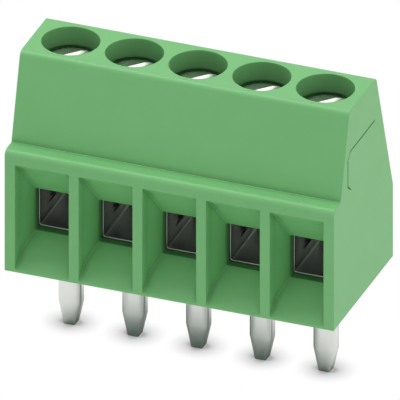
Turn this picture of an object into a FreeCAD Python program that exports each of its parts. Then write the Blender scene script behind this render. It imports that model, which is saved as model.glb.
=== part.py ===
# Screw terminal block for a circuit board: a moulded housing and, in each pole,
# a clamp sleeve that a slotted screw pulls up against a solder contact.
# The frame: X along the row of poles, -Y the wire side, +Z up. The origin is in
# the middle of the row of solder pins, on the board's plane.
import FreeCAD, Part
import math
import os
import Sketcher

Vector = FreeCAD.Vector

# Driving dimensions in millimetres and degrees
SIZES = {
    # the row of poles
    "pole_count": 5,
    "pitch": 2.54,
    "end_wall": 0.42,
    # the housing's side view, depths counted from its front face
    "housing_depth": 6.2,
    "housing_height": 8.5,
    "ledge_depth": 0.715,
    "ledge_height": 5.1,
    "top_start": 1.635,
    "top_end": 4.457,
    "back_height": 3.08,
    "edge_round": 0.25,
    "back_round": 0.4,
    # the wire funnels, two stages deep
    "mouth_width": 2.14,
    "mouth_lip": 0.08,
    "mouth_top": 4.57,
    "step_depth": 0.6,
    "step_floor": 0.6,
    "step_ceiling": 4.1,
    "throat_depth": 1.34,
    "throat_width": 1.52,
    "throat_floor": 1.19,
    "throat_ceiling": 2.96,
    # the screwdriver holes
    "screw_setback": 3.04,
    "bore_diameter": 2.2,
    "bore_edge": 0.05,
    # the outline left by a mould insert in both end faces
    "insert_front": 1.47,
    "insert_top": 6.78,
    "insert_end": 4.3,
    "insert_foot": 5.35,
    "insert_hook": 0.27,
    "insert_corner": 0.28,
    "insert_line": 0.05,
    "insert_depth": 0.05,
    # the clamp sleeve, bent from strip, open as it stands at rest
    "sleeve_strip": 0.3,
    "sleeve_setback": 1.73,
    "sleeve_length": 2.8,
    "sleeve_inside": 1.46,
    "sleeve_floor": 1.22,
    "sleeve_bend": 0.08,
    "sleeve_seam": 0.02,
    "sleeve_edge": 0.03,
    "sleeve_play": 0.04,
    "ceiling_play": 0.1,
    "clamp_travel": 1.75,
    # the screw
    "head_diameter": 2.0,
    "head_height": 0.9,
    "head_depth": 0.76,
    "head_chamfer": 0.15,
    "slot_width": 0.5,
    "slot_depth": 0.45,
    "slot_edge": 0.12,
    "slot_turn": 48,
    "thread_diameter": 1.6,
    "thread_play": 0.03,
    "neck_diameter": 1.2,
    "neck_height": 0.25,
    "tip_chamfer": 0.2,
    "tip_gap": 0.03,
    # the solder contact, bent from strip
    "contact_strip": 0.5,
    "contact_width": 1.8,
    "contact_bend": 0.2,
    "tongue_width": 1.1,
    "tongue_underside": 3.0,
    "tongue_gap": 0.06,
    "riser_gap": 0.15,
    "base_underside": 0.25,
    "pin_setback": 3.1,
    "pin_width": 0.9,
    "pin_length": 3.5,
    "pin_taper": 0.95,
    "pin_tip": 0.45,
    "pin_shoulder": 0.3,
    "pin_edge": 0.12,
    # how far a cut runs out past the material that it takes away
    "cut_over": 0.1,
}

# Points nearer to each other than this, in millimetres, count as one place
SAME_PLACE = 1e-4

doc = FreeCAD.newDocument("terminal_block")


def fill_sheet():
    """Write the driving dimensions and the values worked out from them."""
    sheet = doc.addObject("Spreadsheet::Sheet", "sizes")
    worked_out = {
        "half_length": "=(pole_count - 1) * pitch / 2 + mouth_width / 2 + end_wall",
        "front": "=-pin_setback",
        "back": "=housing_depth - pin_setback",
        "screw_y": "=screw_setback - pin_setback",
        "sleeve_front": "=front + sleeve_setback",
        "sleeve_back": "=sleeve_front + sleeve_length",
        "sleeve_outside": "=sleeve_inside + 2 * sleeve_strip",
        "sleeve_ceiling": "=tongue_underside + contact_strip + ceiling_play",
        "sleeve_inner_layer": "=sleeve_ceiling + sleeve_strip",
        "sleeve_outer_layer": "=sleeve_inner_layer + sleeve_seam",
        "sleeve_top": "=sleeve_outer_layer + sleeve_strip",
        "sleeve_bottom": "=sleeve_floor - sleeve_strip",
        "chamber_width": "=sleeve_outside + 2 * sleeve_play",
        "chamber_front": "=sleeve_front - sleeve_play",
        "chamber_back": "=sleeve_back + sleeve_play",
        "chamber_top": "=sleeve_top + clamp_travel + ceiling_play",
        "riser_front": "=sleeve_back + riser_gap",
        "riser_back": "=riser_front + contact_strip",
        "tongue_top": "=tongue_underside + contact_strip",
        "tongue_front": "=chamber_front + tongue_gap",
        "tongue_shoulder": "=sleeve_back + riser_gap / 2",
        "base_top": "=base_underside + contact_strip",
        "head_top": "=housing_height - head_depth",
        "head_foot": "=head_top - head_height",
        "tip_height": "=tongue_top + tip_gap",
        "pin_half": "=contact_strip / 2",
    }
    for row, (name, value) in enumerate({**SIZES, **worked_out}.items(), 1):
        sheet.set(f"A{row}", name)
        sheet.set(f"B{row}", str(value))
        sheet.setAlias(f"B{row}", name)
    doc.recompute()
    return sheet


sheet = fill_sheet()


def size(name):
    return float(getattr(sheet, name))


def new_body(name):
    body = doc.addObject("PartDesign::Body", name)
    body.Label = name
    return body


def new_sketch(body, name, plane_role, lift=None):
    """A sketch on one of the body's own origin planes, lifted by an expression."""
    sketch = body.newObject("Sketcher::SketchObject", name)
    planes = [part for part in body.Origin.OriginFeatures if part.Role == plane_role]
    sketch.AttachmentSupport = [(planes[0], "")]
    sketch.MapMode = "FlatFace"
    if lift:
        sketch.setExpression("AttachmentOffset.Base.z", lift)
    doc.recompute()
    return sketch


def outline(sketch, corners):
    """A closed outline of straight runs; each corner is a pair of expressions."""
    first = sketch.GeometryCount
    count = len(corners)
    expressions = [[text.replace("$", "sizes.") for text in corner] for corner in corners]
    places = [Vector(*[float(sketch.evalExpression(text)) for text in corner], 0)
              for corner in expressions]
    for i in range(count):
        sketch.addGeometry(Part.LineSegment(places[i], places[(i + 1) % count]), False)
    for i in range(count):
        joint = ("Coincident", first + i, 2, first + (i + 1) % count, 1)
        sketch.addConstraint(Sketcher.Constraint(*joint))
    for i, (across, up) in enumerate(expressions):
        for kind, text, value in (("DistanceX", across, places[i].x),
                                  ("DistanceY", up, places[i].y)):
            index = sketch.addConstraint(
                Sketcher.Constraint(kind, -1, 1, first + i, 1, value))
            sketch.setExpression(f"Constraints[{index}]", text)


def circle(sketch, across, up, diameter):
    """A circle whose centre and diameter are expressions."""
    across, up, diameter = [text.replace("$", "sizes.") for text in (across, up, diameter)]
    values = [float(sketch.evalExpression(text)) for text in (across, up, diameter)]
    centre = Vector(values[0], values[1], 0)
    index = sketch.addGeometry(Part.Circle(centre, Vector(0, 0, 1), values[2] / 2), False)
    for kind, text, value in (("DistanceX", across, values[0]), ("DistanceY", up, values[1])):
        place = sketch.addConstraint(Sketcher.Constraint(kind, -1, 1, index, 3, value))
        sketch.setExpression(f"Constraints[{place}]", text)
    place = sketch.addConstraint(Sketcher.Constraint("Diameter", index, values[2]))
    sketch.setExpression(f"Constraints[{place}]", diameter)


def extrusion(body, kind, name, sketch, length, both=False, reverse=False):
    """A Pad or a Pocket, to one side of its sketch or to both sides alike."""
    feature = body.newObject(f"PartDesign::{kind}", name)
    feature.Profile = sketch
    feature.Reversed = reverse
    if both:
        feature.SideType = "Symmetric"
    feature.setExpression("Length", length.replace("$", "sizes."))
    doc.recompute()
    return feature


def along(edge, axis):
    """Whether an edge is a straight run along an axis."""
    if edge.Curve.TypeId != "Part::GeomLine":
        return False
    return math.isclose(abs(getattr(edge.Curve.Direction, axis)), 1)


def edges_through(shape, axis, places):
    """Names of the straight edges along an axis that pass through given places.

    A place gives the two other coordinates, in X, Y, Z order.
    """
    others = [name for name in "xyz" if name != axis]
    names = []
    for number, edge in enumerate(shape.Edges, 1):
        if not along(edge, axis):
            continue
        point = edge.CenterOfMass
        here = [getattr(point, name) for name in others]
        if any(math.dist(here, place) < SAME_PLACE for place in places):
            names.append(f"Edge{number}")
    return names


def rounding(body, name, base, edges, radius, kind="Fillet"):
    """Round or chamfer edges of the feature before."""
    if not edges:
        raise ValueError(f"{name} found no edge to work on")
    feature = body.newObject(f"PartDesign::{kind}", name)
    feature.Base = (base, edges)
    feature.setExpression("Radius" if kind == "Fillet" else "Size", radius.replace("$", "sizes."))
    doc.recompute()
    return feature


def row_pattern(body, features):
    """Repeat features from the first pole along the row."""
    pattern = body.newObject("PartDesign::LinearPattern", "row_of_poles")
    pattern.Originals = features
    axes = [part for part in body.Origin.OriginFeatures if part.Role == "X_Axis"]
    pattern.Direction = (axes[0], [""])
    pattern.setExpression("Length", "sizes.pitch * (sizes.pole_count - 1)")
    pattern.setExpression("Occurrences", "sizes.pole_count")
    body.Tip = pattern
    doc.recompute()
    return pattern


FIRST_POLE = "(-$pitch * ($pole_count - 1) / 2)"


def funnel_loft(body):
    """The funnel's inner stage, which tapers from the step to the throat."""
    sections = []
    for name, depth, width, floor, ceiling in (
            ("funnel_step", "$step_depth", "$mouth_width", "$step_floor", "$step_ceiling"),
            ("funnel_throat", "$throat_depth", "$throat_width", "$throat_floor",
             "$throat_ceiling")):
        lift = f"-(sizes.front + {depth.replace('$', 'sizes.')})"
        sketch = new_sketch(body, name, "XZ_Plane", lift)
        left = f"{FIRST_POLE} - {width} / 2"
        right = f"{FIRST_POLE} + {width} / 2"
        outline(sketch, [(left, floor), (right, floor), (right, ceiling), (left, ceiling)])
        sections.append(sketch)
    loft = body.newObject("PartDesign::SubtractiveLoft", "funnel_taper")
    loft.Profile = sections[0]
    loft.Sections = [sections[1]]
    loft.Ruled = True
    doc.recompute()
    return loft


def side_pocket(body, name, corners, width):
    """A pocket of one width in the first pole, drawn as seen from the end."""
    sketch = new_sketch(body, name + "_outline", "YZ_Plane",
                        FIRST_POLE.replace("$", "sizes."))
    outline(sketch, corners)
    return extrusion(body, "Pocket", name, sketch, width, both=True)


def box_corners(front, back, floor, ceiling):
    return [(front, floor), (back, floor), (back, ceiling), (front, ceiling)]


def end_outline(body):
    """The thin line that a mould insert leaves in each end face."""
    sketch = new_sketch(body, "insert_outline", "YZ_Plane", "sizes.half_length")
    left = "($front + $insert_front)"
    hook = "($front + $insert_front + $insert_hook)"
    slope = "($front + $insert_front + $insert_corner)"
    end = "($front + $insert_end)"
    low = "($insert_foot - $insert_hook)"
    thick = "$insert_line"
    half = f"{thick} * tan(22.5 deg)"
    outline(sketch, [
        (hook, low),
        (left, "$insert_foot"),
        (left, "$insert_top - $insert_corner"),
        (slope, "$insert_top"),
        (end, "$insert_top"),
        (end, f"$insert_top - {thick}"),
        (f"{slope} + {half}", f"$insert_top - {thick}"),
        (f"{left} + {thick}", f"$insert_top - $insert_corner - {half}"),
        (f"{left} + {thick}", f"$insert_foot + {half}"),
        (f"{hook} + {thick}", f"{low} + {half}"),
    ])
    line = extrusion(body, "Pocket", "insert_line", sketch, "$insert_depth")
    mirror = body.newObject("PartDesign::Mirrored", "insert_line_other_end")
    mirror.Originals = [line]
    planes = [part for part in body.Origin.OriginFeatures if part.Role == "YZ_Plane"]
    mirror.MirrorPlane = (planes[0], [""])
    body.Tip = mirror
    doc.recompute()
    return mirror


def make_housing():
    """The moulded housing: its outer form, then what is open in each pole."""
    body = new_body("housing")
    sketch = new_sketch(body, "side_view", "YZ_Plane")
    outline(sketch, [
        ("$front", "0"),
        ("$back", "0"),
        ("$back", "$back_height"),
        ("$front + $top_end", "$housing_height"),
        ("$front + $top_start", "$housing_height"),
        ("$front + $ledge_depth", "$ledge_height"),
        ("$front", "$ledge_height"),
    ])
    block = extrusion(body, "Pad", "block", sketch, "2 * $half_length", both=True)
    front = size("front")
    top = size("housing_height")
    crests = [(front, size("ledge_height")), (front + size("top_start"), top),
              (front + size("top_end"), top)]
    edges = edges_through(block.Shape, "x", crests)
    rounded = rounding(body, "long_edges", block, edges, "$edge_round")
    edges = edges_through(rounded.Shape, "x", [(size("back"), size("back_height"))])
    rounding(body, "back_edge", rounded, edges, "$back_round")

    mouth = side_pocket(body, "funnel_mouth", [
        ("$front - $cut_over",
         "$mouth_lip - $cut_over * ($step_floor - $mouth_lip) / $step_depth"),
        ("$front + $step_depth", "$step_floor"),
        ("$front + $step_depth", "$step_ceiling"),
        ("$front - $cut_over",
         "$mouth_top + $cut_over * ($mouth_top - $step_ceiling) / $step_depth"),
    ], "$mouth_width")
    taper = funnel_loft(body)
    throat = side_pocket(body, "throat", box_corners(
        "$front + $throat_depth", "$chamber_front", "$throat_floor", "$throat_ceiling"),
        "$throat_width")
    chamber = side_pocket(body, "sleeve_chamber", box_corners(
        "$chamber_front", "$chamber_back", "0", "$chamber_top"), "$chamber_width")
    slot = side_pocket(body, "contact_slot", box_corners(
        "$chamber_back", "$riser_back", "0", "$tongue_top"), "$contact_width")
    sketch = new_sketch(body, "screw_hole_outline", "XY_Plane", "sizes.housing_height")
    circle(sketch, FIRST_POLE, "$screw_y", "$bore_diameter")
    hole = extrusion(body, "Pocket", "screw_hole", sketch, "$housing_height - $chamber_top")
    row_pattern(body, [mouth, taper, throat, chamber, slot, hole])
    row = body.Tip
    rims = [f"Edge{number}" for number, edge in enumerate(row.Shape.Edges, 1)
            if edge.Curve.TypeId == "Part::GeomCircle"
            and abs(edge.CenterOfMass.z - top) < SAME_PLACE]
    rounding(body, "screw_hole_rims", row, rims, "$bore_edge", "Chamfer")
    end_outline(body)
    return body


def make_sleeve(name):
    """Strip bent round to a closed loop, its two ends lapped in the top wall."""
    body = new_body(name)
    sketch = new_sketch(body, "loop", "XZ_Plane", "-sizes.sleeve_front")
    inside = "$sleeve_inside / 2"
    outside = "$sleeve_outside / 2"
    outline(sketch, [
        (outside, "$sleeve_outer_layer"),
        (outside, "$sleeve_top"),
        (f"-{outside}", "$sleeve_top"),
        (f"-{outside}", "$sleeve_bottom"),
        (outside, "$sleeve_bottom"),
        (outside, "$sleeve_inner_layer"),
        (f"$sleeve_bend - {inside}", "$sleeve_inner_layer"),
        (f"$sleeve_bend - {inside}", "$sleeve_ceiling"),
        (inside, "$sleeve_ceiling"),
        (inside, "$sleeve_floor"),
        (f"-{inside}", "$sleeve_floor"),
        (f"-{inside}", "$sleeve_outer_layer"),
    ])
    strip = extrusion(body, "Pad", "strip", sketch, "$sleeve_length", reverse=True)
    half_in = size("sleeve_inside") / 2
    half_out = size("sleeve_outside") / 2
    outer = [(-half_out, size("sleeve_top")), (-half_out, size("sleeve_bottom")),
             (half_out, size("sleeve_bottom")), (half_out, size("sleeve_inner_layer"))]
    inner = [(half_in, size("sleeve_ceiling")), (half_in, size("sleeve_floor")),
             (-half_in, size("sleeve_floor")), (-half_in, size("sleeve_outer_layer"))]
    bends = rounding(body, "outer_bends", strip, edges_through(strip.Shape, "y", outer),
                     "$sleeve_bend + $sleeve_strip")
    bends = rounding(body, "inner_bends", bends, edges_through(bends.Shape, "y", inner),
                     "$sleeve_bend")
    # the tap runs on down and grazes the side walls as far as the screw comes
    sketch = new_sketch(body, "thread_outline", "XY_Plane",
                        "sizes.tip_height - sizes.clamp_travel - sizes.ceiling_play")
    circle(sketch, "0", "$screw_y", "$thread_diameter + 2 * $thread_play")
    thread = extrusion(body, "Pocket", "thread", sketch, "$sleeve_top", reverse=True)
    mouth = [f"Edge{number}" for number, edge in enumerate(thread.Shape.Edges, 1)
             if front_inner_edge(edge)]
    rounding(body, "deburred_mouth", thread, mouth, "$sleeve_edge", "Chamfer")
    return body


def front_inner_edge(edge):
    """Whether an edge of the sleeve borders the wire's opening at its front."""
    point = edge.CenterOfMass
    front = size("sleeve_front")
    floor = size("sleeve_floor") - SAME_PLACE
    ceiling = size("sleeve_ceiling") + SAME_PLACE
    return (abs(edge.BoundBox.YMin - front) < SAME_PLACE
            and abs(edge.BoundBox.YMax - front) < SAME_PLACE
            and abs(point.x) < size("sleeve_inside") / 2 + SAME_PLACE
            and floor < point.z < ceiling)


def slot_outline(body, name, lift, width):
    """The slot's outline across the whole head, turned as the screw stands."""
    sketch = new_sketch(body, name, "XY_Plane", lift)
    reach = "($head_diameter / 2 + $cut_over)"
    turn = "$slot_turn * 1 deg"
    corners = []
    for run, side in ((-1, -1), (1, -1), (1, 1), (-1, 1)):
        along_slot = f"({run} * {reach})"
        across_slot = f"({side} * ({width}) / 2)"
        corners.append((f"{along_slot} * cos({turn}) - {across_slot} * sin({turn})",
                        f"$screw_y + {along_slot} * sin({turn}) + {across_slot} * cos({turn})"))
    outline(sketch, corners)
    return sketch


def make_screw(name):
    """Slotted screw: head, run-out neck, shank and chamfered tip."""
    body = new_body(name)
    sketch = new_sketch(body, "half_section", "XZ_Plane", "-sizes.screw_y")
    head = "$head_diameter / 2"
    neck = "$neck_diameter / 2"
    shank = "$thread_diameter / 2"
    outline(sketch, [
        ("0", "$head_top"),
        (f"{head} - $head_chamfer", "$head_top"),
        (head, "$head_top - $head_chamfer"),
        (head, "$head_foot"),
        (neck, "$head_foot"),
        (neck, "$head_foot - $neck_height"),
        (shank, f"$head_foot - $neck_height - ({shank} - {neck})"),
        (shank, "$tip_height + $tip_chamfer"),
        (f"{shank} - $tip_chamfer", "$tip_height"),
        ("0", "$tip_height"),
    ])
    turned = body.newObject("PartDesign::Revolution", "turned")
    turned.Profile = sketch
    turned.ReferenceAxis = (sketch, ["V_Axis"])
    turned.Angle = 360
    doc.recompute()
    sketch = slot_outline(body, "slot_foot", "sizes.head_top", "$slot_width")
    extrusion(body, "Pocket", "slot", sketch, "$slot_depth")
    edges = body.newObject("PartDesign::SubtractiveLoft", "slot_edges")
    edges.Profile = slot_outline(body, "slot_mouth", "sizes.head_top",
                                 "$slot_width + 2 * $slot_edge")
    edges.Sections = [slot_outline(body, "slot_edge_foot", "sizes.head_top - sizes.slot_edge",
                                   "$slot_width")]
    edges.Ruled = True
    doc.recompute()
    return body


def make_contact(name):
    """Bent strip: tongue, riser behind the sleeve, base under it and solder pin."""
    body = new_body(name)
    sketch = new_sketch(body, "bent_strip", "YZ_Plane")
    outline(sketch, [
        ("$tongue_front", "$tongue_underside"),
        ("$riser_front", "$tongue_underside"),
        ("$riser_front", "$base_top"),
        ("-$pin_half", "$base_top"),
        ("-$pin_half", "-$pin_length"),
        ("$pin_half", "-$pin_length"),
        ("$pin_half", "$base_underside"),
        ("$riser_back", "$base_underside"),
        ("$riser_back", "$tongue_top"),
        ("$tongue_front", "$tongue_top"),
    ])
    strip = extrusion(body, "Pad", "strip", sketch, "$contact_width", both=True)
    half = size("pin_half")
    outer = [(size("riser_back"), size("tongue_top")),
             (size("riser_back"), size("base_underside")), (-half, size("base_top"))]
    inner = [(size("riser_front"), size("tongue_underside")),
             (size("riser_front"), size("base_top")), (half, size("base_underside"))]
    bends = rounding(body, "outer_bends", strip, edges_through(strip.Shape, "x", outer),
                     "$contact_bend + $contact_strip")
    rounding(body, "inner_bends", bends, edges_through(bends.Shape, "x", inner),
             "$contact_bend")

    wide = "$contact_width / 2 + $cut_over"
    sketch = new_sketch(body, "tongue_sides", "XY_Plane", "sizes.base_top")
    for side in ("", "-"):
        outline(sketch, [
            (f"{side}($tongue_width / 2)", "$front"),
            (f"{side}({wide})", "$front"),
            (f"{side}({wide})", "$tongue_shoulder"),
            (f"{side}($tongue_width / 2)", "$tongue_shoulder"),
        ])
    extrusion(body, "Pocket", "tongue_blanked", sketch, "$tongue_top", reverse=True)
    sketch = new_sketch(body, "pin_sides", "XY_Plane", "sizes.base_top + sizes.cut_over")
    for side in ("", "-"):
        outline(sketch, [
            (f"{side}($pin_width / 2)", "-$pin_half - $cut_over"),
            (f"{side}({wide})", "-$pin_half - $cut_over"),
            (f"{side}({wide})", "$pin_half + $pin_shoulder"),
            (f"{side}($pin_width / 2)", "$pin_half + $pin_shoulder"),
        ])
    extrusion(body, "Pocket", "pin_blanked", sketch, "$pin_length + $base_top + 2 * $cut_over")
    sketch = new_sketch(body, "tip_sides", "XZ_Plane")
    for side in ("", "-"):
        outline(sketch, [
            (f"{side}($pin_width / 2)", "-$pin_length + $pin_taper"),
            (f"{side}($pin_tip / 2)", "-$pin_length"),
            (f"{side}($pin_width)", "-$pin_length"),
            (f"{side}($pin_width)", "-$pin_length + $pin_taper"),
        ])
    tapered = extrusion(body, "Pocket", "tip_tapered", sketch, "$contact_strip * 2", both=True)
    rounding(body, "coined_pin", tapered, pin_edges(tapered.Shape), "$pin_edge", "Chamfer")
    return body


def pin_edges(shape):
    """Names of the long edges of the pin below the board's plane."""
    names = []
    for number, edge in enumerate(shape.Edges, 1):
        box = edge.BoundBox
        if box.ZMax < size("base_underside") and box.ZLength > size("pin_taper") / 2:
            names.append(f"Edge{number}")
    return names


def make_poles():
    """The three metal pieces of each pole, set along the row."""
    bodies = []
    for index in range(int(size("pole_count"))):
        for make, kind in ((make_sleeve, "clamp_sleeve"), (make_screw, "clamp_screw"),
                           (make_contact, "solder_contact")):
            body = make(f"{kind}_{index + 1}")
            body.setExpression(
                "Placement.Base.x",
                f"sizes.pitch * ({index} - (sizes.pole_count - 1) / 2)")
            bodies.append(body)
    doc.recompute()
    return bodies


def check(bodies):
    """Stop on any failed object and on any sub-part that isn't one valid solid."""
    for part in doc.Objects:
        if "Invalid" in part.State or "Error" in part.State:
            raise RuntimeError(f"{part.Label} failed: {part.State}")
    for body in bodies:
        shape = body.Shape
        if shape.isNull() or not shape.isValid() or len(shape.Solids) != 1:
            raise RuntimeError(f"{body.Label} isn't one valid solid")


bodies = [make_housing()] + make_poles()
check(bodies)
os.makedirs("parts", exist_ok=True)
for body in bodies:
    body.Shape.exportStep(f"parts/{body.Label}.step")
    print(body.Label, round(body.Shape.Volume, 4))
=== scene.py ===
# A five-pole screw terminal block for a circuit board, seen from its wire side.
import math

import bmesh
import bpy
from mathutils import Matrix, Vector


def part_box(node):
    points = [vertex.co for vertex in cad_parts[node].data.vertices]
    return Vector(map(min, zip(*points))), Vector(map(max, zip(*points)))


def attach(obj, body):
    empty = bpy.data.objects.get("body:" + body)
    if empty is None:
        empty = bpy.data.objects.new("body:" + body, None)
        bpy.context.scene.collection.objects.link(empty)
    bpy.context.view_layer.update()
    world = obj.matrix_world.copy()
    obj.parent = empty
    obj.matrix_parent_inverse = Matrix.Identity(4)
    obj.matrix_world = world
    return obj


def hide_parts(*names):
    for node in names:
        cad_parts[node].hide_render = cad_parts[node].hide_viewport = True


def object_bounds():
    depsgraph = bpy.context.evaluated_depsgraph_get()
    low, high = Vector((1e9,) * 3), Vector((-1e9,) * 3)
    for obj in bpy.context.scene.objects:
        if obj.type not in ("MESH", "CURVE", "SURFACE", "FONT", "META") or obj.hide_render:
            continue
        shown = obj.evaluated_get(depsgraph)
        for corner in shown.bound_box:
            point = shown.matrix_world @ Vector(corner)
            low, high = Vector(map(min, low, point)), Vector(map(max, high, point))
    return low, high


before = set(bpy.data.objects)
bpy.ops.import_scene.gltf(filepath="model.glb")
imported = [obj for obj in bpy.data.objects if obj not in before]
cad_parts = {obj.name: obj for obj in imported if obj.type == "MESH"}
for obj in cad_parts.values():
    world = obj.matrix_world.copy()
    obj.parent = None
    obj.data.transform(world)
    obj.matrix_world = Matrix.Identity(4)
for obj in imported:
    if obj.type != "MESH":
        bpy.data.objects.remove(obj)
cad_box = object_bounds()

# HOUSING
# One injection-moulded piece of green glass-filled polyamide. It holds every other
# piece: funnels for the wires in front, round screwdriver holes in the top, and
# chambers open to the underside, through which the metal pieces are pushed in.

MM = 0.001
PITCH = 2.54
POLES = range(1, 6)
LENGTH = 13.14
FRONT = -3.1  # the front face, from the row of pins
DEPTH = 6.2
HEIGHT = 8.5
LEDGE_HEIGHT = 5.1
# The side view: depth behind the front face, height and the rounding of each corner.
SIDE_VIEW = [(0, 0, 0), (DEPTH, 0, 0), (DEPTH, 3.08, 0.4), (4.457, HEIGHT, 0.25),
             (1.635, HEIGHT, 0.25), (0.715, LEDGE_HEIGHT, 0), (0, LEDGE_HEIGHT, 0.25)]
# The funnel at its mouth, at the step and at its throat: depth, half width, floor, ceiling.
FUNNEL = [(0, 1.07, 0.08, 4.57), (0.6, 1.07, 0.6, 4.1), (1.34, 0.76, 1.19, 2.96)]
FUNNEL_RINGS = 16
STEP_SOFTNESS = 0.2  # how far from the step its rounding reaches
FUNNEL_CORNER = 0.05
# Behind each funnel: the sleeve's chamber, the room round the screw's head, the contact's
# slot, and above them the screwdriver's hole.
CHAMBER_HALF = 1.07
CHAMBER_FRONT = 1.69
CHAMBER_BACK = 4.57
CHAMBER_TOP = 6.07
HEAD_ROOM_RADIUS = 1.17
HEAD_ROOM_FOOT = 6.02
HEAD_ROOM_TOP = 7.69
CONTACT_SLOT_HALF = 0.9
CONTACT_SLOT_BACK = 5.18
CONTACT_SLOT_TOP = 3.5
SCREW_DEPTH = 3.04
BORE_RADIUS = 1.1
BORE_SIDES = 72
TURNED_SIDES = 64
LINE_DEPTH = 0.05
EDGE = 0.025  # the rounding that any mould leaves on a sharp edge
EDGE_ANGLE = 35  # degrees, from which a turn in the surface is an edge
PAST = 0.1  # how far a cutter reaches out of the piece
OVERLAP = 0.02  # how far one cutter reaches into the next


def pole_x(pole):
    return (pole - 3) * PITCH


def arc_outline(corners, steps):
    """The corners (across, up, rounding) of a flat outline, as points along its arcs."""
    points = []
    for i, (across, up, rounding) in enumerate(corners):
        here = Vector((across, up, 0))
        if not rounding:
            points.append(here)
            continue
        before = (Vector((*corners[i - 1][:2], 0)) - here).normalized()
        after = (Vector((*corners[(i + 1) % len(corners)][:2], 0)) - here).normalized()
        half_angle = before.angle(after) / 2
        centre = here + (before + after).normalized() * rounding / math.sin(half_angle)
        first = here + before * rounding / math.tan(half_angle) - centre
        last = here + after * rounding / math.tan(half_angle) - centre
        points += [centre + first.slerp(last, k / steps) * rounding for k in range(steps + 1)]
    return points


def new_piece(name, points, faces):
    """A mesh piece from points in millimetres, with its faces turned outwards."""
    mesh = bpy.data.meshes.new(name)
    mesh.from_pydata([Vector(point) * MM for point in points], [], faces)
    shell = bmesh.new()
    shell.from_mesh(mesh)
    bmesh.ops.recalc_face_normals(shell, faces=shell.faces)
    shell.to_mesh(mesh)
    shell.free()
    piece = bpy.data.objects.new(name, mesh)
    bpy.context.scene.collection.objects.link(piece)
    return piece


def loft(name, rings):
    """A closed piece through rings of as many points each."""
    count = len(rings[0])
    faces = [[r * count + i, r * count + (i + 1) % count,
              (r + 1) * count + (i + 1) % count, (r + 1) * count + i]
             for r in range(len(rings) - 1) for i in range(count)]
    faces.append(list(range(count)))
    faces.append(list(range((len(rings) - 1) * count, len(rings) * count)))
    return new_piece(name, [point for ring in rings for point in ring], faces)


def square_cutter(name, low, high):
    """A square cutter between two corners, its depths counted from the front face."""
    corners = ((low[1], low[2]), (high[1], low[2]), (high[1], high[2]), (low[1], high[2]))
    return loft(name, [[(x, FRONT + depth, height) for depth, height in corners]
                       for x in (low[0], high[0])])


def softened(depth, values):
    """A funnel size at a depth: two straight runs that blend where they meet."""
    mouth, step, throat = (knot[0] for knot in FUNNEL)
    first = (values[1] - values[0]) / (step - mouth)
    second = (values[2] - values[1]) / (throat - step)
    if depth > step + STEP_SOFTNESS:
        return values[1] + second * (depth - step)
    value = values[1] + first * (depth - step)
    into = max(0, depth - step + STEP_SOFTNESS)
    return value + (second - first) * into ** 2 / (4 * STEP_SOFTNESS)


def funnel(pole):
    """What the mould's core leaves open for the wire, from the mouth to the chamber."""
    throat = FUNNEL[2][0]
    depths = [throat * k / FUNNEL_RINGS for k in range(FUNNEL_RINGS + 1)]
    rings = []
    for depth in [-PAST] + depths + [CHAMBER_FRONT + OVERLAP]:
        inner = min(depth, throat)
        half, floor, ceiling = (softened(inner, [knot[i] for knot in FUNNEL])
                                for i in (1, 2, 3))
        corners = ((-half, floor), (half, floor), (half, ceiling), (-half, ceiling))
        outline = arc_outline([(across, up, FUNNEL_CORNER) for across, up in corners], steps=4)
        rings.append([(pole_x(pole) + p.x, FRONT + depth, p.y) for p in outline])
    return loft("funnel", rings)


def turned_ring(pole, radius, height, sides=TURNED_SIDES):
    """One ring of a round form on a screw's axis."""
    turns = [2 * math.pi * k / sides for k in range(sides)]
    return [(pole_x(pole) + radius * math.cos(turn), FRONT + SCREW_DEPTH + radius * math.sin(turn),
             height) for turn in turns]


def bore(pole):
    """The round hole down to the screw's head, a little wider round the head."""
    profile = [(HEAD_ROOM_RADIUS, HEAD_ROOM_FOOT), (HEAD_ROOM_RADIUS, HEAD_ROOM_TOP),
               (BORE_RADIUS, HEAD_ROOM_TOP), (BORE_RADIUS, HEIGHT + PAST)]
    return loft("bore", [turned_ring(pole, radius, height, BORE_SIDES)
                         for radius, height in profile])


def cut(piece, cutters):
    """Take the cutters out of a piece, and delete them."""
    group = bpy.data.collections.new("cutters")
    bpy.context.scene.collection.children.link(group)
    for cutter in cutters:
        group.objects.link(cutter)
    cutting = piece.modifiers.new("cut", "BOOLEAN")
    cutting.operand_type = "COLLECTION"
    cutting.collection = group
    cutting.solver = "EXACT"
    settle(piece)
    for cutter in cutters:
        bpy.data.meshes.remove(cutter.data)
    bpy.data.collections.remove(group)


def settle(piece):
    """Put the result of a piece's modifiers into its mesh."""
    view = bpy.context.evaluated_depsgraph_get()
    mesh = bpy.data.meshes.new_from_object(piece.evaluated_get(view))
    piece.modifiers.clear()
    piece.data = mesh


def soften_edges(piece, width):
    """Round a piece's sharp edges by a little, and shade the rest smoothly."""
    soft = piece.modifiers.new("soft_edges", "BEVEL")
    soft.width = width * MM
    soft.segments = 2
    soft.limit_method = "ANGLE"
    soft.angle_limit = math.radians(EDGE_ANGLE)
    soft.use_clamp_overlap = False
    soft.harden_normals = True
    for face in piece.data.polygons:
        face.use_smooth = True
    settle(piece)


def place(piece, node, body, material):
    """Let a piece take a CAD node's place on its body, in one material."""
    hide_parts(node)
    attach(piece, body)
    piece.data.materials.clear()
    piece.data.materials.append(material)


ends = [-LENGTH / 2, LENGTH / 2]
side_view = arc_outline(SIDE_VIEW, steps=8)
housing = loft("housing_moulded", [[(x, FRONT + p.x, p.y) for p in side_view] for x in ends])
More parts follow.
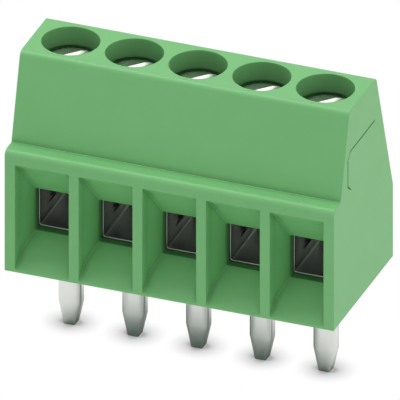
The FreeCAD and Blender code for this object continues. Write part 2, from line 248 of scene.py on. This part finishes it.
# The outline of a mould insert: a fine line in both end faces, as wide as it is deep.
INSERT_LINE = [(1.79, 5.08), (1.47, 5.35), (1.47, 6.5), (1.75, 6.78), (4.3, 6.78), (4.3, 6.73),
               (1.77, 6.73), (1.52, 6.48), (1.52, 5.37), (1.82, 5.1)]
openings = [loft("insert_line", [[(x, FRONT + depth, height) for depth, height in INSERT_LINE]
                                 for x in (end - LINE_DEPTH, end + LINE_DEPTH)])
            for end in ends]
for pole in POLES:
    x = pole_x(pole)
    openings.append(funnel(pole))
    openings.append(bore(pole))
    openings.append(square_cutter("chamber", (x - CHAMBER_HALF, CHAMBER_FRONT, -PAST),
                                  (x + CHAMBER_HALF, CHAMBER_BACK, CHAMBER_TOP)))
    openings.append(square_cutter(
        "contact_slot", (x - CONTACT_SLOT_HALF, CHAMBER_BACK - OVERLAP, -PAST),
        (x + CONTACT_SLOT_HALF, CONTACT_SLOT_BACK, CONTACT_SLOT_TOP)))
cut(housing, openings)
soften_edges(housing, EDGE)


def linear(hex_colour):
    """A six-digit sRGB colour as the linear values that a shader takes."""
    channels = [int(hex_colour[i:i + 2], 16) / 255 for i in (0, 2, 4)]
    return [c / 12.92 if c <= 0.04045 else ((c + 0.055) / 1.055) ** 2.4 for c in channels] + [1]


def add_node(tree, kind, links=None, **settings):
    """One shader node with its settings, its sockets' values and the links into them.

    A link names its socket, or numbers it where the names repeat.
    """
    node = tree.nodes.new(kind)
    for name, value in settings.items():
        if name in node.bl_rna.properties:
            setattr(node, name, value)
        else:
            node.inputs[name.replace("_", " ")].default_value = value
    for name, source in (links or {}).items():
        tree.links.new(source, node.inputs[name])
    return node


def start_material(name):
    """An empty material and its node tree."""
    material = bpy.data.materials.new(name)
    material.use_nodes = True
    material.node_tree.nodes.clear()
    return material, material.node_tree


# Moulded polyamide 66 from a fine spark-eroded mould: a soft, even, slightly dull
# green. The erosion leaves a grain of about 0.06 mm, and the filler a faint mottle.
# Two occlusion nodes paint shade and less shine into funnels, holes and inner corners.
GRAIN = 0.06 * MM
MOTTLE = 1.2 * MM
NOOK_REACH = 2.5 * MM
CREASE_REACH = 0.4 * MM

polyamide, tree = start_material("polyamide_moulded_spark_eroded")
where = add_node(tree, "ShaderNodeTexCoord")
mottle = add_node(tree, "ShaderNodeTexNoise", {"Vector": where.outputs["Object"]},
                  Scale=1 / MOTTLE, Detail=3.0)
colours = add_node(tree, "ShaderNodeValToRGB", {"Fac": mottle.outputs["Fac"]})
colours.color_ramp.elements[0].position = 0.3
colours.color_ramp.elements[0].color = linear("75BF76")
colours.color_ramp.elements[1].position = 0.7
colours.color_ramp.elements[1].color = linear("78C179")
grain = add_node(tree, "ShaderNodeTexNoise", {"Vector": where.outputs["Object"]},
                 Scale=1 / GRAIN, Detail=2.0)
dull = add_node(tree, "ShaderNodeMapRange", {"Value": grain.outputs["Fac"]},
                To_Min=0.42, To_Max=0.52)
bump = add_node(tree, "ShaderNodeBump", {"Height": grain.outputs["Fac"]},
                Strength=0.08, Distance=0.004 * MM)
nook = add_node(tree, "ShaderNodeAmbientOcclusion", samples=16, Distance=NOOK_REACH)
# Painted shade: the colour darkens where the nooks close in.
deep = add_node(tree, "ShaderNodeMapRange", {"Value": nook.outputs["AO"]},
                From_Min=0.1, From_Max=0.55, To_Min=0.3, To_Max=1.0)
crease = add_node(tree, "ShaderNodeAmbientOcclusion", samples=16, Distance=CREASE_REACH)
line = add_node(tree, "ShaderNodeMapRange", {"Value": crease.outputs["AO"]},
                # Painted shade: a thin dark line along inner corners.
                From_Min=0.45, From_Max=0.9, To_Min=0.45, To_Max=1.0)
painted_shade = add_node(tree, "ShaderNodeMath",
                  {0: deep.outputs["Result"], 1: line.outputs["Result"]}, operation="MINIMUM")
colour_with_painted_shade = add_node(tree, "ShaderNodeVectorMath",
                  {"Vector": colours.outputs["Color"], "Scale": painted_shade.outputs["Value"]},
                  operation="SCALE")
# Painted shade on the shine: less of it where the nooks close in.
painted_nook_shine = add_node(tree, "ShaderNodeMapRange", {"Value": nook.outputs["AO"]},
                 From_Min=0.1, From_Max=0.55, To_Min=0.15, To_Max=0.5)
shader = add_node(tree, "ShaderNodeBsdfPrincipled",
                  {"Base Color": colour_with_painted_shade.outputs["Vector"], "Roughness": dull.outputs["Result"],
                   "Specular IOR Level": painted_nook_shine.outputs["Result"],
                   "Normal": bump.outputs["Normal"]}, IOR=1.53)
add_node(tree, "ShaderNodeOutputMaterial", {"Surface": shader.outputs["BSDF"]})
place(housing, "housing", "block", polyamide)

# SOLDER CONTACTS
# Stamped from a 0.5 mm strip of copper alloy, bent, and tin plated in a barrel. Each
# is a press fit in its slot; its tongue lies in the sleeve and its pin goes through the board.

STRIP = 0.5
CONTACT_WIDTH = 1.8
TONGUE_WIDTH = 1.1
TONGUE_FRONT = -1.35
TONGUE_HEIGHT = 3.25
RISER = 1.83
BASE_HEIGHT = 0.5
BEND = 0.45  # the radius of the strip's middle line
BEND_STEP = 15  # degrees
TONGUE_SHOULDER = 16  # degrees into the first bend
TONGUE_NOSE = 0.03  # its front edges are broken by this much
PIN_SHOULDER = 0.55
PIN_WIDTH = 0.9
PIN_TIP = 0.45
PIN_TAPER = -2.55
PIN_END = -3.5
SHEARED = 0.04
COINED = 0.3  # the pin's long edges, this far across and a third as deep
COINED_FLAT = 3
TIP_ROUND = 0.03
STRIP_EDGE_ANGLE = 40


def strip_ring(x, y, z, heading, width, rounding, thick=STRIP, flat=1):
    """The strip's cross-section where its middle line heads down by an angle in degrees.

    Its rounding is flat times as wide as it is deep.
    """
    w, t = width / 2, thick / 2 * flat
    outline = arc_outline([(-w, -t, rounding), (w, -t, rounding), (w, t, rounding),
                           (-w, t, rounding)], steps=5)
    down = math.radians(heading)
    return [(x + p.x, y + p.y / flat * math.sin(down), z + p.y / flat * math.cos(down))
            for p in outline]


def contact(pole):
    """Tongue, riser, base and pin in one loft along the strip's middle line."""
    x = pole_x(pole)
    rings = [strip_ring(x, TONGUE_FRONT, TONGUE_HEIGHT, 0, TONGUE_WIDTH - 2 * TONGUE_NOSE,
                        SHEARED, STRIP - 2 * TONGUE_NOSE),
             strip_ring(x, TONGUE_FRONT + TONGUE_NOSE, TONGUE_HEIGHT, 0, TONGUE_WIDTH, SHEARED)]
    first_bend = [(turn, TONGUE_WIDTH) for turn in (0, TONGUE_SHOULDER)]
    first_bend += [(turn, CONTACT_WIDTH) for turn in (TONGUE_SHOULDER, *range(30, 91, BEND_STEP))]
    for turn, width in first_bend:
        down = math.radians(turn)
        rings.append(strip_ring(x, RISER - BEND + BEND * math.sin(down),
                                TONGUE_HEIGHT - BEND + BEND * math.cos(down), turn, width,
                                SHEARED))
    for turn in range(90, 181, BEND_STEP):
        down = math.radians(turn)
        rings.append(strip_ring(x, RISER - BEND + BEND * math.sin(down),
                                BASE_HEIGHT + BEND + BEND * math.cos(down), turn,
                                CONTACT_WIDTH, SHEARED))
    rings.append(strip_ring(x, PIN_SHOULDER, BASE_HEIGHT, 180, CONTACT_WIDTH, SHEARED))
    rings.append(strip_ring(x, PIN_SHOULDER, BASE_HEIGHT, 180, PIN_WIDTH, SHEARED))
    for turn in range(180, 89, -BEND_STEP):
        down = math.radians(turn)
        rings.append(strip_ring(x, BEND - BEND * math.sin(down),
                                BASE_HEIGHT - BEND - BEND * math.cos(down), turn,
                                PIN_WIDTH, SHEARED))
    for height in (0, PIN_TAPER):
        rings.append(strip_ring(x, 0, height, 90, PIN_WIDTH, COINED, flat=COINED_FLAT))
    for turn in (0, 30, 60, 90):
        inset = TIP_ROUND * (1 - math.cos(math.radians(turn)))
        height = PIN_END + TIP_ROUND * (1 - math.sin(math.radians(turn)))
        share = (height - PIN_END) / (PIN_TAPER - PIN_END)
        width = PIN_TIP + (PIN_WIDTH - PIN_TIP) * share
        rings.append(strip_ring(x, 0, height, 90, width - 2 * inset, COINED * width / PIN_WIDTH,
                                STRIP - 2 * inset, COINED_FLAT))
    piece = loft(f"solder_contact_bent_{pole}", rings)
    for face in piece.data.polygons:
        face.use_smooth = True
    piece.data.set_sharp_from_angle(angle=math.radians(STRIP_EDGE_ANGLE))
    return piece


# Barrel tin plating over a rolled strip: a pale, slightly cloudy metal, with rolling
# lines along the strip about 0.04 mm apart.
TIN_CLOUD = 0.35 * MM
ROLLED_APART = 0.04 * MM
ROLLED_RUN = 0.8 * MM

tin, tree = start_material("tin_plated_rolled_strip")
where = add_node(tree, "ShaderNodeTexCoord")
cloud = add_node(tree, "ShaderNodeTexNoise", {"Vector": where.outputs["Object"]},
                 Scale=1 / TIN_CLOUD, Detail=4.0)
rolled = add_node(tree, "ShaderNodeMapping", {"Vector": where.outputs["Object"]},
                  Scale=(1 / ROLLED_APART, 1 / ROLLED_APART, 1 / ROLLED_RUN))
lines = add_node(tree, "ShaderNodeTexNoise", {"Vector": rolled.outputs["Vector"]},
                 Scale=1.0, Detail=2.0)
dull = add_node(tree, "ShaderNodeMapRange", {"Value": cloud.outputs["Fac"]},
                To_Min=0.24, To_Max=0.38)
bump = add_node(tree, "ShaderNodeBump", {"Height": lines.outputs["Fac"]},
                Strength=0.1, Distance=0.002 * MM)
shader = add_node(tree, "ShaderNodeBsdfPrincipled",
                  {"Roughness": dull.outputs["Result"], "Normal": bump.outputs["Normal"]},
                  Base_Color=linear("E2E5E0"), Metallic=1.0)
add_node(tree, "ShaderNodeOutputMaterial", {"Surface": shader.outputs["BSDF"]})
for pole in POLES:
    place(contact(pole), f"solder_contact_{pole}", "block", tin)

# CLAMP SLEEVES
# Steel strip of 0.3 mm bent round to a closed loop, tapped through the lap in its top
# wall, deburred at its mouth and zinc plated. It slides up its chamber as the screw turns.

SLEEVE_FRONT = 1.73
SLEEVE_LENGTH = 2.8
SLEEVE_INSIDE = 0.73
SLEEVE_OUTSIDE = 1.03
SLEEVE_BOTTOM = 0.92
SLEEVE_FLOOR = 1.22
SLEEVE_CEILING = 3.6
INNER_LAP = 3.9
OUTER_LAP = 3.92
SLEEVE_TOP = 4.22
INNER_BEND = 0.08
OUTER_BEND = 0.38
TAPPED_RADIUS = 0.83
TAPPED_FROM = 1.68
DEBURRED = 0.03


def sleeve(pole):
    """The strip's closed loop, its ends lapped in the top wall, and its tapped hole."""
    x = pole_x(pole)
    loop = arc_outline([
        (SLEEVE_OUTSIDE, OUTER_LAP, 0), (SLEEVE_OUTSIDE, SLEEVE_TOP, 0),
        (-SLEEVE_OUTSIDE, SLEEVE_TOP, OUTER_BEND), (-SLEEVE_OUTSIDE, SLEEVE_BOTTOM, OUTER_BEND),
        (SLEEVE_OUTSIDE, SLEEVE_BOTTOM, OUTER_BEND), (SLEEVE_OUTSIDE, INNER_LAP, OUTER_BEND),
        (INNER_BEND - SLEEVE_INSIDE, INNER_LAP, 0), (INNER_BEND - SLEEVE_INSIDE, SLEEVE_CEILING, 0),
        (SLEEVE_INSIDE, SLEEVE_CEILING, INNER_BEND), (SLEEVE_INSIDE, SLEEVE_FLOOR, INNER_BEND),
        (-SLEEVE_INSIDE, SLEEVE_FLOOR, INNER_BEND), (-SLEEVE_INSIDE, OUTER_LAP, INNER_BEND)],
        steps=6)
    piece = loft(f"clamp_sleeve_bent_{pole}",
                 [[(x + p.x, FRONT + depth, p.y) for p in loop]
                  for depth in (SLEEVE_FRONT, SLEEVE_FRONT + SLEEVE_LENGTH)])
    tapped = loft("tapped_hole", [turned_ring(pole, TAPPED_RADIUS, height)
                                  for height in (TAPPED_FROM, SLEEVE_TOP + PAST)])
    cut(piece, [tapped])
    soften_edges(piece, DEBURRED)
    return piece


# Zinc plating on rolled strip: a greyish satin metal with fine lines round the loop,
# about 0.03 mm apart.
LOOP_LINES_APART = 0.03 * MM
LOOP_LINES_RUN = 0.5 * MM

zinc, tree = start_material("zinc_plated_bent_strip")
where = add_node(tree, "ShaderNodeTexCoord")
rolled = add_node(tree, "ShaderNodeMapping", {"Vector": where.outputs["Object"]},
                  Scale=(1 / LOOP_LINES_RUN, 1 / LOOP_LINES_APART, 1 / LOOP_LINES_RUN))
lines = add_node(tree, "ShaderNodeTexNoise", {"Vector": rolled.outputs["Vector"]},
                 Scale=1.0, Detail=3.0)
dull = add_node(tree, "ShaderNodeMapRange", {"Value": lines.outputs["Fac"]},
                To_Min=0.26, To_Max=0.4)
bump = add_node(tree, "ShaderNodeBump", {"Height": lines.outputs["Fac"]},
                Strength=0.12, Distance=0.002 * MM)
shader = add_node(tree, "ShaderNodeBsdfPrincipled",
                  {"Roughness": dull.outputs["Result"], "Normal": bump.outputs["Normal"]},
                  Base_Color=linear("B8BCB8"), Metallic=1.0)
add_node(tree, "ShaderNodeOutputMaterial", {"Surface": shader.outputs["BSDF"]})
for pole in POLES:
    place(sleeve(pole), f"clamp_sleeve_{pole}", f"sleeve_{pole}", zinc)

# CLAMP SCREWS
# Turned and thread-rolled steel, zinc plated bright, with a sawn slot for a 2 mm
# blade. Each stands on its contact's tongue and turns in the sleeve's thread.

HEAD_TOP = 7.74
HEAD_FOOT = 6.84
HEAD_RADIUS = 1.0
LAND_RADIUS = 0.69
HEAD_FALL = 0.13  # from the land to the rim
RIM_STEPS = 6
NECK_RADIUS = 0.6
NECK_SLOPE = 0.02
THREAD_TOP = 6.59
SCREW_TIP = 3.53
THREAD_CREST = 0.8
THREAD_ROOT = 0.585
THREAD_BURIED = 0.03  # the ridge's foot is this far inside the core
THREAD_PITCH = 0.35
THREAD_FOOT = 0.375  # half the ridge's width at its foot, in pitches
THREAD_FLAT = 0.0625  # half its width at its crest, in pitches
THREAD_STEPS = 24  # to a turn
SLOT_HALF = 0.25
SLOT_FOOT = 7.29
SLOT_EDGE = 0.12
SLOT_TURN = math.radians(48)
SLOT_REACH = 1.2  # from the axis, past the head's rim
SCREW_EDGE = 0.015


def slot_cutter(pole):
    """The sawn slot with its broken edges, right across the head."""
    profile = arc_outline([
        (-SLOT_HALF, SLOT_FOOT, 0), (SLOT_HALF, SLOT_FOOT, 0),
        (SLOT_HALF, HEAD_TOP - SLOT_EDGE, SLOT_EDGE),
        (SLOT_HALF + 2 * SLOT_EDGE, HEAD_TOP + SLOT_EDGE, 0),
        (-SLOT_HALF - 2 * SLOT_EDGE, HEAD_TOP + SLOT_EDGE, 0),
        (-SLOT_HALF, HEAD_TOP - SLOT_EDGE, SLOT_EDGE)], steps=4)
    along, aside = math.cos(SLOT_TURN), math.sin(SLOT_TURN)
    return loft("slot", [[(pole_x(pole) + run * along - p.x * aside,
                           FRONT + SCREW_DEPTH + run * aside + p.x * along, p.y)
                          for p in profile] for run in (-SLOT_REACH, SLOT_REACH)])


def thread_ridge(pole):
    """The rolled thread: one ridge that winds round the core and runs out at both ends."""
    foot = THREAD_ROOT - THREAD_BURIED
    section = [(foot, THREAD_FOOT), (THREAD_CREST, THREAD_FLAT),
               (THREAD_CREST, -THREAD_FLAT), (foot, -THREAD_FOOT)]
    first = THREAD_TOP - THREAD_FOOT * THREAD_PITCH
    last = SCREW_TIP + THREAD_FOOT * THREAD_PITCH
    rings = []
    for k in range(int((first - last) / THREAD_PITCH * THREAD_STEPS) + 1):
        turn = 2 * math.pi * k / THREAD_STEPS
        middle = first - THREAD_PITCH * k / THREAD_STEPS
        ring = []
        for radius, share in section:
            height = middle + share * THREAD_PITCH
            end = min(THREAD_TOP - height, height - SCREW_TIP)
            reach = min(radius, NECK_RADIUS + end)
            ring.append((pole_x(pole) + reach * math.cos(turn),
                         FRONT + SCREW_DEPTH + reach * math.sin(turn), height))
        rings.append(ring)
    return loft("thread", rings)


def screw(pole):
    """Head, neck and core turned in one, the slot sawn in, and the thread."""
    rim = [(LAND_RADIUS + (HEAD_RADIUS - LAND_RADIUS) * math.sin(turn),
            HEAD_TOP - HEAD_FALL * (1 - math.cos(turn)))
           for turn in (math.pi / 2 * k / RIM_STEPS for k in range(RIM_STEPS + 1))]
    profile = rim + [(HEAD_RADIUS, HEAD_FOOT), (NECK_RADIUS, HEAD_FOOT),
                     (NECK_RADIUS, THREAD_TOP), (THREAD_ROOT, THREAD_TOP - NECK_SLOPE),
                     (THREAD_ROOT, SCREW_TIP)]
    piece = loft(f"clamp_screw_turned_{pole}",
                 [turned_ring(pole, radius, height) for radius, height in profile])
    cut(piece, [slot_cutter(pole)])
    soften_edges(piece, SCREW_EDGE)
    thread = thread_ridge(pole)
    for face in thread.data.polygons:
        face.use_smooth = True
    thread.data.set_sharp_from_angle(angle=math.radians(EDGE_ANGLE))
    both = bmesh.new()
    both.from_mesh(piece.data)
    both.from_mesh(thread.data)
    both.to_mesh(piece.data)
    both.free()
    bpy.data.meshes.remove(thread.data)
    return piece


# Bright zinc plating on a turned head: a smooth, pale metal that mirrors softly, with a
# faint cloud about 0.12 mm across.
BRIGHT_CLOUD = 0.12 * MM

bright, tree = start_material("bright_zinc_plated_turned")
where = add_node(tree, "ShaderNodeTexCoord")
speck = add_node(tree, "ShaderNodeTexNoise", {"Vector": where.outputs["Object"]},
                 Scale=1 / BRIGHT_CLOUD, Detail=3.0)
dull = add_node(tree, "ShaderNodeMapRange", {"Value": speck.outputs["Fac"]},
                To_Min=0.25, To_Max=0.31)
bump = add_node(tree, "ShaderNodeBump", {"Height": speck.outputs["Fac"]},
                Strength=0.04, Distance=0.001 * MM)
shader = add_node(tree, "ShaderNodeBsdfPrincipled",
                  {"Roughness": dull.outputs["Result"], "Normal": bump.outputs["Normal"]},
                  Base_Color=linear("D8D7D3"), Metallic=1.0)
add_node(tree, "ShaderNodeOutputMaterial", {"Surface": shader.outputs["BSDF"]})
for pole in POLES:
    place(screw(pole), f"clamp_screw_{pole}", f"screw_{pole}", bright)

# FLOOR
# A plain white sheet under the pins' tips, with only painted contact shadows round them.

FLOOR_SIDE = 600 * MM
CONTACT_SHADOW_REACH = 0.95 * MM
FOOT_SHADOW_REACH = 2.5 * MM
SHADOW_REACH = 7 * MM
PAPER_GLOW = 0.2  # what the paper adds to the light that it throws back up

low = cad_box[0][2]
half = FLOOR_SIDE / 2
mesh = bpy.data.meshes.new("floor")
mesh.from_pydata([(-half, -half, low), (half, -half, low), (half, half, low), (-half, half, low)],
                 [], [(0, 1, 2, 3)])
floor = bpy.data.objects.new("floor", mesh)
bpy.context.scene.collection.objects.link(floor)

# Matt white paper. Seen directly it is pure white apart from painted contact shadows, seen
# in metal it shows a painted wide soft shadow of the whole block, and from below it is clear.
paper, tree = start_material("white_paper_matt")
path = add_node(tree, "ShaderNodeLightPath")


def shadow_colour(reach, darkest, darkest_at, white_at):
    """Painted shadow: white that falls to a darkest colour where things within reach close the
    paper in.
    """
    shade = add_node(tree, "ShaderNodeAmbientOcclusion", samples=32, Distance=reach)
    ramp = add_node(tree, "ShaderNodeValToRGB", {"Fac": shade.outputs["AO"]})
    ramp.color_ramp.elements[0].position = darkest_at
    ramp.color_ramp.elements[0].color = linear(darkest)
    ramp.color_ramp.elements[1].position = white_at
    ramp.color_ramp.elements[1].color = linear("FFFFFF")
    return ramp.outputs["Color"]


# Painted contact shadows round the pins' tips, as the camera sees the paper.
painted_contact_shadow = add_node(tree, "ShaderNodeEmission",
                  {"Color": shadow_colour(CONTACT_SHADOW_REACH, "ACACAC", 0.6, 0.99)}, Strength=1.0)
# Painted shadow of the whole block and of the pins' feet, as metal mirrors the paper.
painted_block_shadows = add_node(tree, "ShaderNodeVectorMath",
                   {0: shadow_colour(SHADOW_REACH, "7E8A83", 0.36, 0.62),
                    1: shadow_colour(FOOT_SHADOW_REACH, "A6B0A7", 0.66, 1.0)}, operation="MULTIPLY")
painted_shadow_in_metal = add_node(tree, "ShaderNodeEmission", {"Color": painted_block_shadows.outputs["Vector"]},
                    Strength=1.0)
seen = add_node(tree, "ShaderNodeMixShader",
                {"Fac": path.outputs["Is Glossy Ray"], 1: painted_contact_shadow.outputs["Emission"],
                 2: painted_shadow_in_metal.outputs["Emission"]})


def any_ray(tree, path):
    """One where a ray comes from the camera, from a shine or through glass."""
    either = add_node(tree, "ShaderNodeMath",
                      {0: path.outputs["Is Camera Ray"], 1: path.outputs["Is Glossy Ray"]},
                      operation="MAXIMUM")
    any_of_them = add_node(tree, "ShaderNodeMath",
                           {0: either.outputs["Value"], 1: path.outputs["Is Transmission Ray"]},
                           operation="MAXIMUM")
    return any_of_them.outputs["Value"]


matt = add_node(tree, "ShaderNodeBsdfDiffuse", Color=linear("F4F4F4"))
# Painted light: the paper glows a little, throwing extra light back up at the block.
glow = add_node(tree, "ShaderNodeEmission", Color=linear("FFFFFF"), Strength=PAPER_GLOW)
lit = add_node(tree, "ShaderNodeAddShader",
               {0: matt.outputs["BSDF"], 1: glow.outputs["Emission"]})
mixed = add_node(tree, "ShaderNodeMixShader",
                 {"Fac": any_ray(tree, path), 1: lit.outputs["Shader"],
                  2: seen.outputs["Shader"]})
side = add_node(tree, "ShaderNodeNewGeometry")
clear = add_node(tree, "ShaderNodeBsdfTransparent")
one_way = add_node(tree, "ShaderNodeMixShader",
                   {"Fac": side.outputs["Backfacing"], 1: mixed.outputs["Shader"],
                    2: clear.outputs["BSDF"]})
add_node(tree, "ShaderNodeOutputMaterial", {"Surface": one_way.outputs["Shader"]})
floor.data.materials.append(paper)

# LIGHT
# A bright even room, white where it is seen, three large soft lamps above, behind and to
# the right, and a small one above that draws the light along the front lip.

ROOM = 0.44
LAMP_DISTANCE = 80 * MM

world = bpy.data.worlds.new("studio")
bpy.context.scene.world = world
world.use_nodes = True
tree = world.node_tree
tree.nodes.clear()
path = add_node(tree, "ShaderNodeLightPath")
room = add_node(tree, "ShaderNodeBackground", Color=linear("FFFFFF"), Strength=ROOM)
backdrop = add_node(tree, "ShaderNodeBackground", Color=linear("FFFFFF"), Strength=1.0)
mixed = add_node(tree, "ShaderNodeMixShader",
                 {"Fac": any_ray(tree, path), 1: room.outputs["Background"],
                  2: backdrop.outputs["Background"]})
add_node(tree, "ShaderNodeOutputWorld", {"Surface": mixed.outputs["Shader"]})

middle = Vector(((cad_box[0][i] + cad_box[1][i]) / 2 for i in range(3)))


def soft_lamp(name, direction, wide, deep, watts):
    """A rectangular lamp that looks at the block from a direction."""
    lamp = bpy.data.lights.new(name, "AREA")
    lamp.shape = "RECTANGLE"
    lamp.size = wide
    lamp.size_y = deep
    lamp.energy = watts
    rig = bpy.data.objects.new(name, lamp)
    rig.location = middle + Vector(direction).normalized() * LAMP_DISTANCE
    rig.rotation_euler = (middle - rig.location).to_track_quat("-Z", "Y").to_euler()
    bpy.context.scene.collection.objects.link(rig)


soft_lamp("lamp_overhead", (0.1, -0.15, 1), 90 * MM, 36 * MM, 0.004)
soft_lamp("lamp_behind", (0.15, 0.4, 1), 60 * MM, 60 * MM, 0.004)
soft_lamp("lamp_right", (1, 0.05, 0.9), 60 * MM, 60 * MM, 0.011)
soft_lamp("lamp_small", (-0.31, -0.01, 0.95), 24 * MM, 12 * MM, 0.019)

# CAMERA
# A parallel view from the front, 20.9 degrees round to the right and 29 degrees above the
# horizon, as in the photograph.

AZIMUTH = math.radians(20.9)
ELEVATION = math.radians(29.0)
PIXELS_PER_MM = 26.84
PICTURE_SIDE = 400
CAMERA_DISTANCE = 150 * MM
# The picture's middle, to the right of and above the block's lower front left corner.
MIDDLE_RIGHT = 7.2895 * MM
MIDDLE_UP = 2.618 * MM

right = Vector((math.cos(AZIMUTH), math.sin(AZIMUTH), 0))
back = Vector((math.sin(AZIMUTH) * math.cos(ELEVATION),
               -math.cos(AZIMUTH) * math.cos(ELEVATION), math.sin(ELEVATION)))
up = back.cross(right)
low_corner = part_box("housing")[0]
target = low_corner + right * MIDDLE_RIGHT + up * MIDDLE_UP
lens = bpy.data.cameras.new("camera")
lens.type = "ORTHO"
lens.ortho_scale = PICTURE_SIDE / PIXELS_PER_MM * MM
lens.clip_start = 1 * MM
lens.clip_end = 10  # metres, well past the floor
camera = bpy.data.objects.new("camera", lens)
camera.matrix_world = Matrix.Translation(target + back * CAMERA_DISTANCE) @ Matrix(
    (right, up, back)).transposed().to_4x4()
bpy.context.scene.collection.objects.link(camera)
bpy.context.scene.camera = camera
bpy.context.scene.view_settings.view_transform = "Standard"
